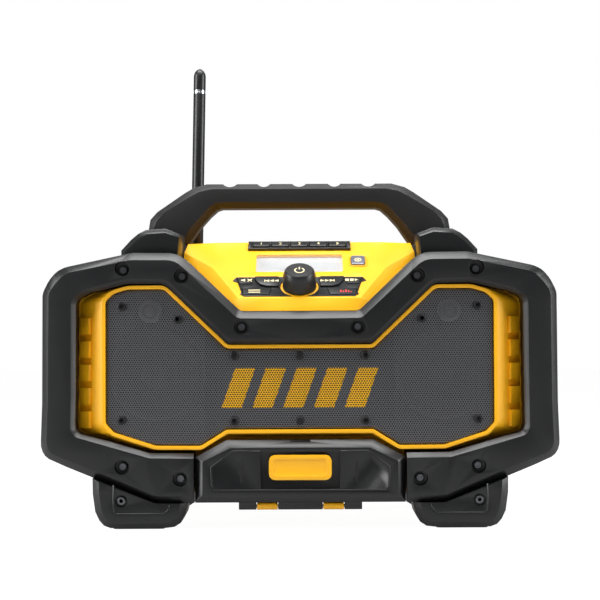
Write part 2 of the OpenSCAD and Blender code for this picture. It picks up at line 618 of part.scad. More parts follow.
// Whether a point lies inside a loop, by counting the edges to its right
function inside(p, loop) = let (n = len(loop), hits = [for (k = [0 : n - 1])
    let (a = loop[k], b = loop[(k + 1) % n])
    if ((a[1] > p[1]) != (b[1] > p[1]) && p[0] < a[0] + (p[1] - a[1]) * (b[0] - a[0]) / (b[1] - a[1])) 1])
    len(hits) % 2 == 1;
function clear_of_screws(p) =
    len([for (q = grille_screw_places) if (norm([abs(p[0]) - q[0], p[1] - q[1]]) < hole_r + 4) 1]) == 0;
module grille_screws() {
    color(BLACK) for (side = [-1, 1], p = grille_screw_places) {
        y_rod(side * p[0], p[1], 2.6, grille_y(p[0]) - 1.9, grille_y(p[0]) - 0.4);
        y_rod(side * p[0], p[1], 1.25, grille_y(p[0]) - 0.4, baffle_face);
    }
}
module woofer_frames() {
    color(METAL) for (side = [-1, 1]) translate([side * woofer[0], baffle_face, woofer[1]]) rotate([90, 0, 0])
        rotate_extrude($fn = 64) polygon([[woofer_r, 0], [woofer_r, 3], [woofer_r - 8, 3], [woofer_r - 8, 0],
            [20, -18], [8, -18], [8, -20], [0, -20], [0, -34], [28, -34], [28, -22], [woofer_r - 7, -1]
            , [woofer_r - 7, 0]]);
}
module woofer_cones() {
    color(BLACK) for (side = [-1, 1]) translate([side * woofer[0], baffle_face, woofer[1]]) rotate([90, 0, 0])
        rotate_extrude($fn = 64) polygon([[woofer_r - 1, 3], [woofer_r - 2, 5], [woofer_r - 4, 6],
            [woofer_r - 7, 5.6], [woofer_r - 9, 3.5], [14, -6], [9, -2.5], [0, -1], [0, -3], [10, -6],
            [12, -10], [16, -10], [woofer_r - 8.6, 2.4], [woofer_r - 8, 3]]);
}
module tweeters() {
    color(METAL) for (side = [-1, 1]) translate([side * tweeter[0], baffle_face, tweeter[1]]) rotate([90, 0, 0])
        rotate_extrude($fn = 48) polygon([[tweeter_r, 0], [tweeter_r, 8], [7, 9], [6, 7], [4, 9], [0, 10],
            [0, -12], [tweeter_r - 2.2, -12], [tweeter_r - 2.2, 0]]);
}

// Storage door ---------------------------------------------------------------
door_bottom = 22.8;
door_back = -97;
latch_half = 26.3;
latch_z = [42, 63];
tongue_half = 7.8;
slot_floor = 43.5;
function door_outline(t) = [[-door_half + t, door_bottom + t], [door_half - t, door_bottom + t],
    [door_half - t, 60.8 - t / 2], [62 - t / 2, 75.4 - t], [-62 + t / 2, 75.4 - t], [-door_half + t, 60.8 - t / 2]];
door_panel = [[-72, 33.6], [72, 33.6], [74.7, 37.5], [74.7, 53.2], [56.5, 66.4], [-56.5, 66.4],
    [-74.7, 53.2], [-74.7, 37.5]];
door_knuckles = [[-52, -37.2], [-18.8, 18.8], [37.2, 52]];
module storage_door() {
    color(BLACK) difference() {
        union() {
            hull() {
                slab(door_outline(0), door_back - door_t + frame_chamfer, door_back);
                slab(door_outline(frame_chamfer), door_back - door_t, door_back);
            }
            for (k = door_knuckles) {
                x_rod(k[0], k[1], hinge_y, hinge_z, knuckle_r);
                block(k[0], k[1], hinge_y - knuckle_r, door_back, hinge_z, door_bottom + 1);
            }
        }
        slab(door_panel, -far, door_back - door_t + 0.8);
        slab([[-33.5, 34.2], [33.5, 34.2], [33.5, 65.7], [-33.5, 65.7]], -far, door_back - door_t + 6);
        block(-tongue_half - gap, tongue_half + gap, door_back - door_t + 5, -99.8, slot_floor, 90);
        x_rod(-60, 60, hinge_y, hinge_z, pin_r + fit);
    }
}
module door_latch() {
    middle = (latch_z[0] + latch_z[1]) / 2;
    color(YELLOW) difference() {
        union() {
            translate([0, -104.2, middle]) rotate([90, 0, 0]) linear_extrude(5.6)
                polygon(rounded_box(2 * latch_half, latch_z[1] - latch_z[0], 5));
            block(-tongue_half, tongue_half, -104.3, -100.1, 55, 75.1);
        }
        translate([0, -109.8 - 0.6 + 1, middle]) rotate([90, 0, 0]) linear_extrude(5)
            polygon(rounded_box(2 * latch_half - 8, 13, 3));
    }
}
spring_r = 1.5;
spring_turns = 6;
spring_steps = 8;
module latch_spring() {
    wire = 0.4;
    lead = 55 - slot_floor - 2 * wire;
    rings = spring_turns * spring_steps;
    color(METAL) translate([0, -102, slot_floor + wire]) loft([for (k = [0 : rings])
        let (t = 360 * k / spring_steps, h = lead * k / rings) [for (j = [0 : 5])
            [(spring_r + wire * cos(60 * j)) * cos(t), (spring_r + wire * cos(60 * j)) * sin(t), h + wire * sin(60 * j)]]], false);
}
module hinge_pin() { color(METAL) x_rod(-52, 52, hinge_y, hinge_z, pin_r); }
aux_place = [-45, 48];
usb_place = [40, 48];
aux_r = 1.8;        // bore of the audio socket
module port_bay() {
    color(BLACK) difference() {
        block(-bay_half, bay_half, -96.4, bay_back, bay_z[0], bay_z[1]);
        block(-bay_half + 2, bay_half - 2, -100, bay_back - 2, bay_z[0] + 2, bay_z[1] - 2);
        y_rod(aux_place[0], aux_place[1], 4.5 + gap, -50, 0);
        block(usb_place[0] - 7 - gap, usb_place[0] + 7 + gap, -50, 0, usb_place[1] - 3.5 - gap, usb_place[1] + 3.5 + gap);
    }
}
module aux_socket() {
    color(BLACK) difference() {
        union() {
            y_rod(aux_place[0], aux_place[1], 4.5, bay_back - 4, bay_back);
            block(aux_place[0] - 6, aux_place[0] + 6, bay_back, bay_back + 12, aux_place[1] - 6, aux_place[1] + 6);
        }
        y_rod(aux_place[0], aux_place[1], aux_r, bay_back - 5, bay_back + 11);
    }
}
module usb_socket() {
    color(METAL) difference() {
        union() {
            block(usb_place[0] - 7, usb_place[0] + 7, bay_back - 3, bay_back, usb_place[1] - 3.5, usb_place[1] + 3.5);
            block(usb_place[0] - 9, usb_place[0] + 9, bay_back, bay_back + 13, usb_place[1] - 5, usb_place[1] + 5);
        }
        block(usb_place[0] - 6.2, usb_place[0] + 6.2, bay_back - 4, bay_back + 11, usb_place[1] - 2.3, usb_place[1] + 2.3);
    }
}

// Battery dock, mains inlet and boards -----------------------------------------
module battery_dock() {
    color(BLACK) difference() {
        block(-dock_half, dock_half, dock_front, shoulder_y, dock_z[0], dock_z[1]);
        block(-dock_half + 3, dock_half - 3, dock_front + 3, shoulder_y + 1, dock_z[0] + 3, dock_z[1] - 3);
    }
    color(BLACK) for (side = [0, 1]) mirror([side, 0, 0])
        block(dock_half - 11, dock_half - 3, dock_front + 3, shoulder_y - 4, 126, 131);
}
module dock_terminals() {
    color(METAL) for (i = [-2 : 2]) block(i * 9 - 0.6, i * 9 + 0.6, dock_front + 3, dock_front + 15, 132, 140);
    color(BLACK) block(-26, 26, dock_front + 3, dock_front + 6, 140, dock_z[1] - 3);
    color(BLACK) block(-26, 26, dock_front + 3, dock_front + 6, 128, 132);
}
module mains_inlet() {
    color(BLACK) difference() {
        block(inlet[0] - 13, inlet[0] + 13, shoulder_y - 22, shoulder_y, inlet[1] - 9, inlet[1] + 9);
        block(inlet[0] - 9, inlet[0] + 9, shoulder_y - 16, shoulder_y + 1, inlet[1] - 5, inlet[1] + 5);
        for (side = [-1, 1]) y_rod(inlet[0] + side * 9, inlet[1], 5, shoulder_y - 16, shoulder_y + 1);
    }
    color(METAL) for (side = [-1, 1]) y_rod(inlet[0] + side * 4.3, inlet[1], 1.2, shoulder_y - 17, shoulder_y - 6);
}
module main_board() {
    color([0.12, 0.35, 0.2]) block(-46, 46, dock_front + 4, shoulder_y - 8, dock_z[1], dock_z[1] + 1.6);
    color(BLACK) for (i = [0 : 2]) block(-36 + 26 * i, -20 + 26 * i, 34, 48, dock_z[1] + 1.6, dock_z[1] + 4);
}
module transformer() {
    color(METAL) block(58, 102, 8, 50, 28 + wall, 66);
    color([0.7, 0.45, 0.2]) block(66, 94, 2, 56, 36, 60);
}

// Antenna -----------------------------------------------------------------------
turret = [-96.9, 54];
pivot_z = 243;
ear = [3.2, 6.2];       // the fork's ears, from y to y each side
module antenna_turret() {
    color(BLACK) translate([turret[0], turret[1], rear_top]) difference() {
        cylinder(r1 = 11.5, r2 = 10, h = 6, $fn = 48);
        translate([0, 0, 2]) cylinder(r = 4 + fit, h = 10, $fn = 32);
    }
}
module antenna_fork() {
    color(BLACK) translate([turret[0], turret[1], 0]) difference() {
        union() {
            translate([0, 0, rear_top + 2.2]) cylinder(r = 4, h = 5, $fn = 32);
            translate([0, 0, rear_top + 6.2]) cylinder(r = 9, h = 1.8, $fn = 48);
            for (side = [-1, 1]) {
                y0 = side > 0 ? ear[0] : -ear[1];
                y_rod(0, pivot_z, 6, y0, y0 + ear[1] - ear[0]);
                block(-6, 6, y0, y0 + ear[1] - ear[0], rear_top + 7, pivot_z);
            }
        }
        y_rod(0, pivot_z, 2 + fit, -10, 10);
    }
}
module antenna_pin() { color(METAL) translate([turret[0], turret[1], 0]) y_rod(0, pivot_z, 2, -6.2, 6.2); }
// Places children in the antenna's own frame: pivot at the origin, axis along Z
module on_antenna() {
    translate([turret[0], turret[1], pivot_z]) rotate([0, antenna_lean, 0]) children();
}
module antenna_sleeve() {
    color(BLACK) on_antenna() difference() {
        union() {
            y_rod(0, 0, 5.6, -ear[0] + 0.1, ear[0] - 0.1);
            translate([-4.6, -ear[0] + 0.1, 0]) cube([9.2, 2 * ear[0] - 0.2, 10]);
            translate([0, 0, 8]) cylinder(r = sleeve_r, h = sleeve_len - 8, $fn = 48);
        }
        y_rod(0, 0, 2 + fit, -10, 10);
        translate([0, 0, 14]) cylinder(r = stage_1_r + fit, h = sleeve_len, $fn = 32);
    }
}
module antenna_stage_1() {
    color(METAL) on_antenna() difference() {
        union() {
            translate([0, 0, 16]) cylinder(r = stage_1_r, h = sleeve_len - 16, $fn = 32);
            translate([0, 0, sleeve_len]) cylinder(r = sleeve_r - 0.2, h = collar_h, $fn = 48);
        }
        translate([0, 0, 18]) cylinder(r = stage_2_r + fit, h = sleeve_len, $fn = 32);
    }
}
module antenna_stage_2() {
    color(METAL) on_antenna() {
        translate([0, 0, 20]) cylinder(r = stage_2_r, h = sleeve_len + collar_h - 20, $fn = 32);
        translate([0, 0, sleeve_len + collar_h]) cylinder(r = sleeve_r - 0.2, h = collar_h, $fn = 48);
    }
}
module antenna_cap() {
    cap_h = 20.6;
    color(BLACK) on_antenna() translate([0, 0, sleeve_len + 2 * collar_h]) rotate_extrude($fn = 48)
        polygon([[0, 0], [sleeve_r, 0], [sleeve_r, cap_h - 8], for (a = [15 : 15 : 90])
            [sleeve_r * cos(a), cap_h - 8 + 8 * sin(a)]]);
}

front_housing();
rear_housing();
console_panel();
front_guard();
rear_guard();
handle();
shoulder_left();
shoulder_right();
handle_screws();
foot_front_left();
foot_front_right();
foot_rear_left();
foot_rear_right();
foot_pads();
guard_screws();
grille_screws();
baffle();
speaker_grille();
woofer_frames();
woofer_cones();
tweeters();
storage_door();
door_latch();
latch_spring();
hinge_pin();
port_bay();
aux_socket();
usb_socket();
display_lens();
display_module();
volume_knob();
encoder_shaft();
encoder_body();
keypad_bezel();
key_mute();
key_menu();
key_previous();
key_next();
key_mode();
key_tone();
pair_button();
preset_trim();
preset(1);  // preset_1
preset(2);  // preset_2
preset(3);  // preset_3
preset(4);  // preset_4
preset(5);  // preset_5
battery_dock();
dock_terminals();
mains_inlet();
main_board();
transformer();
antenna_turret();
antenna_fork();
antenna_pin();
antenna_sleeve();
antenna_stage_1();
antenna_stage_2();
antenna_cap();
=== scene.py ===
# A jobsite radio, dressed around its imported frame.
import math

import bmesh
import bpy
from mathutils import Matrix, Vector


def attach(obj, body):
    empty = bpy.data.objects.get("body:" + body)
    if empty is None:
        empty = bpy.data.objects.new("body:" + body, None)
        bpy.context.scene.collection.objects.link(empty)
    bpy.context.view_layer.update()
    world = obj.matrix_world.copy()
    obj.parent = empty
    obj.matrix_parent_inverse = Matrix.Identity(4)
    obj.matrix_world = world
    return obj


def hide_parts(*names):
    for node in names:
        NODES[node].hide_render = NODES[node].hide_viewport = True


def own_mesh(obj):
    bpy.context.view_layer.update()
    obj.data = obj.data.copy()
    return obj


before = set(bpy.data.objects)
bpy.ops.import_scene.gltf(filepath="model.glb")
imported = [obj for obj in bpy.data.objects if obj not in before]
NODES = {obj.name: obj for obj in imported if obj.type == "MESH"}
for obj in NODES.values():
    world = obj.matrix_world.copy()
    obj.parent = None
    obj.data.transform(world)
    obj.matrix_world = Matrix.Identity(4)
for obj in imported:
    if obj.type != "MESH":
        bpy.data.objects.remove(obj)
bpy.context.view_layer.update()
MM = 0.001

# ---------------------------------------------------------------- places
FRONT_Y = 110               # front face of the front frame, in mm
SWEEP_RATE = 0.114          # how far the front falls back per mm of width
FLAT_HALF = 80              # half width of the flat middle
FOLD = (-100, 195)          # the console's lower fold, as y and z
CONSOLE_TILT = math.radians(33)
KNOB_S = 17.8               # places up the console's slope
PRESET_S = 87
PRESET_PITCH = 17
PAIR_PLACE = (51.5, 61.3)
FRAME_SCREWS = ((149.8, 219.3), (99.5, 213.6), (49, 170.6), (150.4, 52.8), (101, 43))
REAR_SCREWS = ((149.8, 219.3), (75, 220), (150.4, 52.8), (75, 43))
GRILLE_SCREWS = ((151.5, 188.5), (103.5, 177.5), (151.5, 92), (55.5, 146.5), (55.5, 91.5), (0, 146.5),
                 (0, 91.5))
FOOT_SCREW = (151, 24.5)


def sweep(x):
    """How far the front has fallen back at x, in mm."""
    return SWEEP_RATE * max(0, abs(x) - FLAT_HALF)


def console_matrix(x=0, s=0, out=0):
    """The console's own frame: x across, y up the slope, z out of it."""
    place = Matrix.Translation(Vector((x, FOLD[0], FOLD[1])) * MM)
    return place @ Matrix.Rotation(CONSOLE_TILT, 4, "X") @ Matrix.Translation(Vector((0, s, out)) * MM)


def placed(name, data):
    """A new object that shows the data in the scene."""
    item = bpy.data.objects.new(name, data)
    bpy.context.scene.collection.objects.link(item)
    return item


# ---------------------------------------------------------------- camera
CAMERA_BACK = 1.300         # camera's distance ahead of the front face
PHOTO_SIZE = 600            # the photograph's width and height, in pixels
MM_PER_PIXEL = 0.84         # real size of a pixel on the front face
EYE_Z = 0.162
CENTRE_Z = 0.193            # height on the front face at the middle of the picture
EYE_X = 0.0004
SENSOR = 36.0
PHOTO_ROLL = math.radians(-0.27)

camera_data = bpy.data.cameras.new("camera")
camera = placed("camera", camera_data)
bpy.context.scene.camera = camera
camera_data.sensor_width = SENSOR
camera_data.lens = SENSOR * CAMERA_BACK / (PHOTO_SIZE * MM_PER_PIXEL * MM)
camera.location = (EYE_X, -FRONT_Y * MM - CAMERA_BACK, EYE_Z)
aim = Vector((EYE_X, -FRONT_Y * MM, CENTRE_Z)) - camera.location
roll = Matrix.Rotation(PHOTO_ROLL, 3, "Z")
camera.rotation_euler = (aim.to_track_quat("-Z", "Y").to_matrix() @ roll).to_euler()
camera_data.clip_end = 20

# ---------------------------------------------------------------- materials


def linear(hex_colour):
    """An sRGB hex colour as linear red, green, blue and alpha."""
    parts = [int(hex_colour[i:i + 2], 16) / 255 for i in (1, 3, 5)]
    return tuple(c / 12.92 if c <= 0.04045 else ((c + 0.055) / 1.055) ** 2.4 for c in parts) + (1.0,)


def add(tree, kind, settings=None, **links):
    """Adds a node, sets its properties or sockets, and links its inputs."""
    node = tree.nodes.new(kind)
    for key, value in (settings or {}).items():
        if isinstance(key, int) or key in node.inputs:
            node.inputs[key].default_value = value
        else:
            setattr(node, key, value)
    for key, source in links.items():
        socket = node.inputs[int(key[1:])] if key[0] == "_" else node.inputs[key]
        tree.links.new(source, socket)
    return node


def surface(name, **sockets):
    """A material with its shader's own sockets set; returns it, its tree and shader."""
    material = bpy.data.materials.new(name)
    material.use_nodes = True
    tree = material.node_tree
    shader = tree.nodes["Principled BSDF"]
    for key, value in sockets.items():
        shader.inputs[key.replace("_", " ")].default_value = value
    return material, tree, shader


def moulded(name, colour, tint, grain_mm, depth_mm, roughness, spread=0.06):
    """Moulded plastic: a spark-eroded grain, a slight mottle and uneven gloss."""
    material, tree, shader = surface(name, IOR=1.5)
    place = add(tree, "ShaderNodeTexCoord").outputs["Object"]
    mottle = add(tree, "ShaderNodeTexNoise", {"Scale": 28.0, "Detail": 3.0, "Roughness": 0.55}, Vector=place)
    grain = add(tree, "ShaderNodeTexNoise", {"Scale": 1000 / grain_mm, "Detail": 2.0}, Vector=place)
    blend = add(tree, "ShaderNodeMix", {"data_type": "RGBA", 6: linear(colour), 7: linear(tint)},
                Factor=mottle.outputs["Fac"])
    tree.links.new(blend.outputs[2], shader.inputs["Base Color"])
    gloss = add(tree, "ShaderNodeMapRange", {"To Min": roughness - spread, "To Max": roughness + spread},
                Value=mottle.outputs["Fac"])
    tree.links.new(gloss.outputs["Result"], shader.inputs["Roughness"])
    bump = add(tree, "ShaderNodeBump", {"Strength": 0.35, "Distance": depth_mm * MM},
               Height=grain.outputs["Fac"])
    tree.links.new(bump.outputs["Normal"], shader.inputs["Normal"])
    return material


def metal(name, colour, roughness, stretch=(1, 1, 1), spread=0.05, metallic=1.0):
    """Metal whose gloss is broken up by fine marks, drawn out along one axis."""
    material, tree, shader = surface(name, Metallic=metallic)
    shader.inputs["Base Color"].default_value = linear(colour)
    place = add(tree, "ShaderNodeTexCoord").outputs["Object"]
    turned = add(tree, "ShaderNodeMapping", {"Scale": stretch}, Vector=place)
    marks = add(tree, "ShaderNodeTexNoise", {"Scale": 900.0, "Detail": 3.0}, Vector=turned.outputs["Vector"])
    gloss = add(tree, "ShaderNodeMapRange", {"To Min": roughness - spread, "To Max": roughness + spread},
                Value=marks.outputs["Fac"])
    tree.links.new(gloss.outputs["Result"], shader.inputs["Roughness"])
    return material


# Signal-yellow ABS with a fine matt texture from the mould
YELLOW = moulded("yellow_ABS_textured", "#FDBB16", "#FAB20C", 0.35, 0.05, 0.40)
# Smooth yellow ABS, where fingers and edges have polished it
YELLOW_SMOOTH = moulded("yellow_ABS_smooth", "#FFBE1E", "#FBB410", 0.5, 0.02, 0.32)
# Over-moulded rubber: near black, with a soft broad sheen
RUBBER = moulded("overmoulded_rubber_black", "#101113", "#0D0E0F", 0.4, 0.06, 0.36)
# Softer, rougher rubber of the handle's grip
GRIP_RUBBER = moulded("matt_grip_rubber_black", "#08080A", "#060607", 0.5, 0.08, 0.50)
# Glass-filled nylon: black, slightly harder and glossier than the rubber
NYLON = moulded("glass_filled_nylon_black", "#101113", "#0C0D0E", 0.3, 0.04, 0.33)
# Satin black ABS for the knob and keys
KEY_BLACK = moulded("satin_ABS_black", "#131416", "#0F1012", 0.3, 0.02, 0.36)
# Powder-coated perforated steel, charcoal grey with bright edges
GRILLE_STEEL = metal("powder_coated_steel_charcoal", "#727377", 0.36, metallic=0.5)
# Polished chrome plate on the telescopic mast
CHROME = metal("chrome_plate", "#E4E6EA", 0.10, spread=0.04)
# Plain zinc-plated steel
STEEL = metal("zinc_plated_steel", "#A9ABB0", 0.34)
# Black-oxide steel of the screws, slightly oily
SCREW_STEEL = metal("black_oxide_steel", "#6A6B70", 0.30, metallic=0.8)
# Silver-painted ABS of the pairing button
SILVER = metal("silver_painted_ABS", "#80838F", 0.33, metallic=0.6)
# Coated paper of the woofer cones
PAPER = moulded("coated_cone_paper", "#2C2C2F", "#222224", 0.6, 0.08, 0.62)
# Black-painted steel of the loudspeakers' frames and of the screws in the grille
FRAME_STEEL = metal("black_painted_steel", "#1B1B1D", 0.45, metallic=0.3)
# Anodised aluminium of the tweeters
ALUMINIUM = metal("anodised_aluminium_grey", "#6E7075", 0.35)
# Green solder mask of the circuit board
SOLDER_MASK = moulded("solder_mask_green", "#1D5B33", "#17502B", 0.4, 0.02, 0.3)
# Laminated core iron
IRON = metal("laminated_core_iron", "#6A6C70", 0.5, stretch=(1, 1, 8), metallic=0.9)
# Yellow enamel printed on the grille
GRILLE_PRINT = moulded("screen_print_yellow", "#F6BC28", "#EEB21E", 0.5, 0.01, 0.45)
# Pale ink of the marks on the keys and knob
MARK = moulded("pad_print_cream", "#F1E3B4", "#E9DAA8", 0.5, 0.005, 0.5)
# Red ink of the tone key's mark
MARK_RED = moulded("pad_print_red", "#D9362E", "#CC2E28", 0.5, 0.005, 0.5)
# Glossier floor of the shapes pressed into the door, darkened with painted shade of the recess
PRESSED_GLOSS_AND_SHADE = moulded("glass_filled_nylon_polished_painted_shade", "#0D0D0E", "#0A0A0B", 0.3, 0.005, 0.30)

# Clear acrylic of the display's window
LENS, lens_tree, lens_shader = surface("acrylic_window_clear", Roughness=0.04, IOR=1.49, Alpha=0.10)
lens_shader.inputs["Base Color"].default_value = linear("#F4F6F6")
# Pale grey face of the display behind it
PANEL = moulded("reflective_LCD_grey", "#DDDFE0", "#D8DADB", 0.6, 0.002, 0.45, spread=0.03)

NODE_FINISH = {
    YELLOW: ("front_housing", "rear_housing", "console_panel"),
    YELLOW_SMOOTH: ("door_latch",),
    GRILLE_STEEL: ("speaker_grille",),
    CHROME: ("antenna_stage_1", "antenna_stage_2"),
    STEEL: ("hinge_pin", "antenna_pin", "encoder_shaft", "encoder_body", "usb_socket", "latch_spring"),
    FRAME_STEEL: ("woofer_frames", "grille_screws"),
    ALUMINIUM: ("tweeters",),
    SCREW_STEEL: ("guard_screws", "handle_screws"),
    SILVER: ("pair_button",),
    PAPER: ("woofer_cones",),
    LENS: ("display_lens",),
    PANEL: ("display_module",),
    SOLDER_MASK: ("main_board",),
    IRON: ("transformer",),
    GRIP_RUBBER: ("handle",),
    RUBBER: ("front_guard", "rear_guard", "shoulder_left", "shoulder_right", "foot_front_left",
             "foot_front_right", "foot_rear_left", "foot_rear_right", "foot_pads"),
    KEY_BLACK: ("volume_knob", "key_mute", "key_menu", "key_previous", "key_next", "key_mode", "key_tone",
                "preset_trim", "preset_1", "preset_2", "preset_3", "preset_4", "preset_5", "keypad_bezel"),
}
finish_of = {name: material for material, names in NODE_FINISH.items() for name in names}
EDGE_MM = {"front_guard": 3.0, "rear_guard": 3.0, "handle": 4.0, "shoulder_left": 4.5, "shoulder_right": 4.5,
           "front_housing": 0.7, "rear_housing": 1.0, "console_panel": 1.2, "storage_door": 1.0,
           "volume_knob": 0.6, "foot_front_left": 1.8, "foot_front_right": 1.8, "foot_rear_left": 1.8,
           "foot_rear_right": 1.8}
WELD_MM = 0.002             # points nearer than this are one
SMALL_EDGE_MM = 0.25
SOFT_ANGLE = math.radians(31)


def soften(item, width_mm, segments=3):
    """Rounds a piece's sharp edges and lets its curved faces shade smoothly."""
    weld = item.modifiers.new("weld", "WELD")
    weld.merge_threshold = WELD_MM * MM
    edges = item.modifiers.new("edges", "BEVEL")
    edges.width = width_mm * MM
    edges.segments = segments
    edges.limit_method = "ANGLE"
    edges.angle_limit = SOFT_ANGLE
    edges.harden_normals = True
    edges.miter_outer = "MITER_ARC"
    for face in item.data.polygons:
        face.use_smooth = True


for name, item in NODES.items():
    item.data.materials.clear()
    item.data.materials.append(finish_of.get(name, NYLON))
    soften(item, EDGE_MM.get(name, SMALL_EDGE_MM))

# ---------------------------------------------------------------- making pieces


def front_matrix(x, y, z):
    """A frame on the front: x across, y up, z out towards the viewer; places in mm."""
    return Matrix.Translation(Vector((x, y, z)) * MM) @ Matrix.Rotation(math.radians(90), 4, "X")


def finish_piece(name, mesh, materials, body, smooth=False):
    """Welds a mesh, turns its faces outwards and makes it a piece that rides on a body."""
    bmesh.ops.remove_doubles(mesh, verts=mesh.verts, dist=WELD_MM * MM)
    bmesh.ops.recalc_face_normals(mesh, faces=mesh.faces)
    data = bpy.data.meshes.new(name)
    for face in mesh.faces:
        face.smooth = smooth
    mesh.to_mesh(data)
    mesh.free()
    item = placed(name, data)
    for material in materials:
        data.materials.append(material)
    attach(item, body)
    return item


def push(mesh, geometry, vec):
    """Moves the points among some new geometry."""
    points = [part for part in geometry if isinstance(part, bmesh.types.BMVert)]
    bmesh.ops.translate(mesh, verts=points, vec=vec)


def prism(mesh, outline, low, high, place):
    """Raises an outline, in mm, from low to high above the place it lies on."""
    ring = [mesh.verts.new(place @ (Vector((x, y, low)) * MM)) for x, y in outline]
    raised = bmesh.ops.extrude_face_region(mesh, geom=[mesh.faces.new(ring)])["geom"]
    rise = place.to_3x3() @ Vector((0, 0, high - low)) * MM
    push(mesh, raised, rise)


def arc(radius, start, end, steps, middle=(0, 0)):
    """Points along an arc, in mm, from one angle to another in degrees."""
    turns = [math.radians(start + (end - start) * i / steps) for i in range(steps + 1)]
    return [(middle[0] + radius * math.cos(t), middle[1] + radius * math.sin(t)) for t in turns]


def band(radius, width, start, end, steps=24, middle=(0, 0)):
    """The outline of a curved stroke of that width."""
    outside = arc(radius, start, end, steps, middle)
    return outside + arc(radius - width, end, start, steps, middle)


def box(x0, x1, y0, y1):
    """The outline of a rectangle."""
    return [(x0, y0), (x1, y0), (x1, y1), (x0, y1)]


def rounded(width, height, radius, steps=4):
    """The outline of a rectangle with rounded corners about the origin."""
    w = width / 2 - radius
    h = height / 2 - radius
    corners = ((w, h, 0), (-w, h, 90), (-w, -h, 180), (w, -h, 270))
    return [p for x, y, turn in corners for p in arc(radius, turn, turn + 90, steps, (x, y))]


def solid_of(item):
    """A bmesh of an object with its modifiers and curve settings applied; the object is deleted."""
    bpy.context.scene.collection.objects.link(item)
    seen_data = item.evaluated_get(bpy.context.evaluated_depsgraph_get())
    data = bpy.data.meshes.new_from_object(seen_data)
    mesh = bmesh.new()
    mesh.from_mesh(data)
    bpy.data.objects.remove(item)
    bpy.data.meshes.remove(data)
    return mesh


# ---------------------------------------------------------------- fitted forms
CHEEK_TURNS = ((52, 0), (75.8, 50.6), (97, 72.5))   # upper edge of the console's cheek, as x and s
CHEEK_FALL = math.tan(math.radians(36))
OLD_FACET_X = 73            # where the node's own side facets begin
OLD_FALL = math.tan(math.radians(8))
SKIRT_Z = 171               # the console's rim below this stays where it is


def ramp(value, start, run):
    """Rises from 0 to 1 as value goes from start to start + run."""
    return min(1.0, max(0.0, (value - start) / run))


def bulge(x, z, at_x, at_z, reach):
    """Falls from 1 at a point to nearly 0 at twice the reach from it."""
    return math.exp(-((x - at_x) ** 2 + (z - at_z) ** 2) / (2 * reach ** 2))


CORNER = (186, 192)         # about where the frame's upper corner turns
POD_TOP_Z = 244             # the shoulder blocks' top face begins here


def corner_cuts():
    """Upright planes that fan out over the frame's upper corners, so that they can turn smoothly."""
    for side in (1, -1):
        point = Vector((side * CORNER[0], 0, CORNER[1])) * MM
        for turn in range(12, 84, 8):
            angle = math.radians(turn)
            yield point, Vector((-side * math.sin(angle), 0, math.cos(angle)))


def fit_guard(x, y, z):
    """The frame's corners stand a little further out and rounder than the node's."""
    top = bulge(x, z, 205, 216, 20)
    crown = bulge(x, z, 210.5, 208.5, 7.5)
    bottom = bulge(x, z, 208, 54, 14)
    side = 0.6 * ramp(x, 130, 80)
    lift = 2 * ramp(x, 130, 40) * ramp(z, 195, 20)
    return x + side + 1.2 * top + 1.5 * crown + 3.2 * bottom, y, z + lift + 0.9 * top + 1.2 * crown - bottom


def fit_handle(x, y, z):
    """The handle narrows from its grip outwards, as the photograph shows."""
    return x - 3.5 * ramp(x, 20, 40) - 3 * ramp(x, 138, 5), y, z


def fit_pod(x, y, z):
    """The shoulder blocks lean in above POD_TOP_Z and a little below it."""
    outer = ramp(x, 133, 9)
    return x - (1.2 + 6 * outer if z > POD_TOP_Z else 2.5 * outer), y, z


CHEEK_NORMALS = []
for (ax, as_), (bx, bs) in zip(CHEEK_TURNS, CHEEK_TURNS[1:]):
    run = math.hypot(bx - ax, bs - as_)
    CHEEK_NORMALS.append(Vector(((bs - as_) / run, (ax - bx) / run, 0)))


def fit_console(x, y, z):
    """Flattens the slope out to the cheeks, and lets them fall away steeply beyond their upper edge."""
    at = console_matrix().inverted() @ (Vector((x, y, z)) * MM) / MM
    beyond = min(normal.dot(at - Vector((*turn, 0))) for normal, turn in zip(CHEEK_NORMALS, CHEEK_TURNS))
    if z < SKIRT_Z:
        return x, y, z
    at.z += OLD_FALL * max(0, x - OLD_FACET_X) - CHEEK_FALL * max(0, beyond)
    moved = console_matrix() @ (at * MM) / MM
    return moved.x, moved.y, max(SKIRT_Z, moved.z)


def cheek_cuts():
    """Planes along the cheeks' folds, as a point and a normal each, so that the points there can move."""
    place = console_matrix()
    fold = CHEEK_NORMALS[0] - CHEEK_NORMALS[1]
    lines = list(zip(CHEEK_TURNS, CHEEK_NORMALS)) + [(CHEEK_TURNS[1], fold)]
    for turn, normal in lines:
        for side in (1, -1):
            point = place @ (Vector((side * turn[0], turn[1], 0)) * MM)
            yield point, place.to_3x3() @ Vector((side * normal.x, normal.y, 0))


def fitted(node, name, fit, cuts=()):
    """A piece on a copy of a node's form with its points moved, worked out for the right and mirrored."""
    mesh = bmesh.new()
    mesh.from_mesh(NODES[node].data)
    bmesh.ops.transform(mesh, matrix=NODES[node].matrix_world, verts=mesh.verts)
    bmesh.ops.remove_doubles(mesh, verts=mesh.verts, dist=WELD_MM * MM)
    for point, normal in cuts:
        everything = list(mesh.verts) + list(mesh.edges) + list(mesh.faces)
        bmesh.ops.bisect_plane(mesh, geom=everything, plane_co=point, plane_no=normal)
    for vert in mesh.verts:
        side = -1 if vert.co.x < 0 else 1
        x, y, z = fit(side * vert.co.x / MM, vert.co.y / MM, vert.co.z / MM)
        vert.co = Vector((side * x, y, z)) * MM
    data = bpy.data.meshes.new(name)
    mesh.to_mesh(data)
    mesh.free()
    item = placed(name, data)
    data.materials.append(finish_of[node])
    soften(item, EDGE_MM[node])
    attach(item, "housing")
    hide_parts(node)


